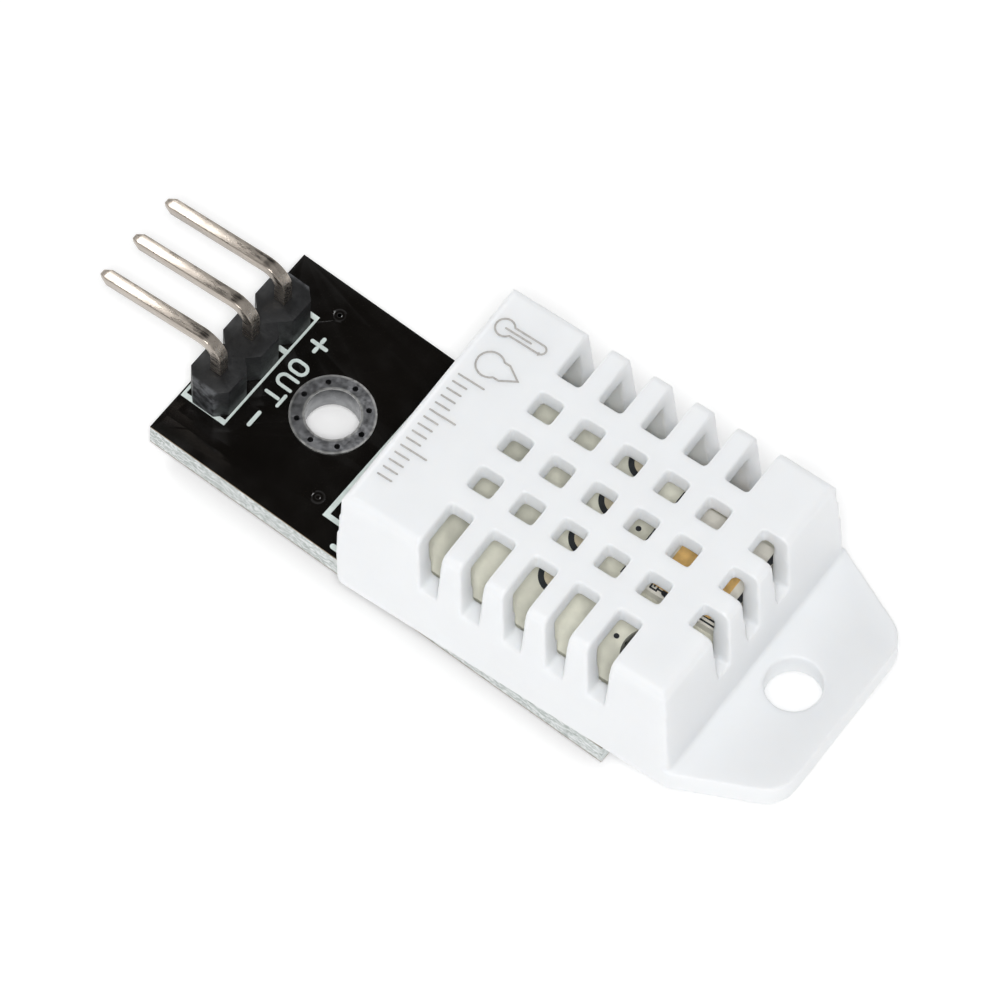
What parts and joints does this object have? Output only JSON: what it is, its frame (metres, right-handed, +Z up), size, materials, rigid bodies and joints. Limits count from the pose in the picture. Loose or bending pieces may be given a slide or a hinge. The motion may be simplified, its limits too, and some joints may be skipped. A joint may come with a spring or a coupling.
{
  "type": "temperature humidity sensor module",
  "caption": "White grilled sensor case with a fixing ear, soldered askew and a little lifted onto a narrow black carrier board with a bent pin header and a plated mounting hole.",
  "frame": {"origin": "mounting hole's axis at the carrier board's underside", "axes": "+X along the board towards the case's ear, +Y across the board, +Z up out of the printed face"},
  "size_m": [0.0433, 0.0159, 0.012],
  "materials": {
    "solder_mask": "black solder mask over glass fibre laminate, satin",
    "tinned_copper": "tinned, slightly uneven",
    "legend_ink": "printed epoxy ink, matt",
    "header_nylon": "moulded black nylon with snapped ends",
    "plated_pin": "tin plated brass, bright",
    "solder": "reflowed tin solder, bright",
    "chip_black": "moulded epoxy, matt",
    "chip_ceramic": "sintered ceramic",
    "white_abs": "moulded white ABS, fine satin",
    "inner_laminate": "bare pale laminate",
    "inner_pad": "bare round pads, dull",
    "inner_ink": "black printed ink",
    "alumina": "white fired alumina",
    "gilt_film": "thin gold film",
    "sealing_epoxy": "cast black epoxy drop, glossy"
  },
  "bodies": {
    "root": {"carrier_board": "solder_mask", "mounting_hole_plating": "tinned_copper", "board_print": "legend_ink", "header_pads": "tinned_copper", "sensor_pads": "tinned_copper", "header_insulator": "header_nylon", "header_pin_minus": "plated_pin", "header_pin_out": "plated_pin", "header_pin_plus": "plated_pin", "header_solder_minus": "solder", "header_solder_out": "solder", "header_solder_plus": "solder", "sensor_lead_1": "plated_pin", "sensor_lead_2": "plated_pin", "sensor_lead_3": "plated_pin", "sensor_lead_4": "plated_pin", "lead_solder_1": "solder", "lead_solder_2": "solder", "lead_solder_3": "solder", "lead_solder_4": "solder", "pullup_resistor": "chip_black", "pullup_resistor_caps": "solder", "bypass_capacitor": "chip_ceramic", "bypass_capacitor_caps": "solder", "grille_cover": "white_abs", "back_plate": "white_abs", "inner_board": "inner_laminate", "inner_board_pads": "inner_pad", "inner_board_rings": "inner_ink", "humidity_substrate": "alumina", "humidity_frame": "inner_ink", "humidity_electrode": "gilt_film", "thermistor_drop": "sealing_epoxy", "controller_chip": "chip_black", "controller_legs": "solder", "ceramic_capacitor": "chip_ceramic", "ceramic_capacitor_caps": "solder"}
  },
  "joints": []
}
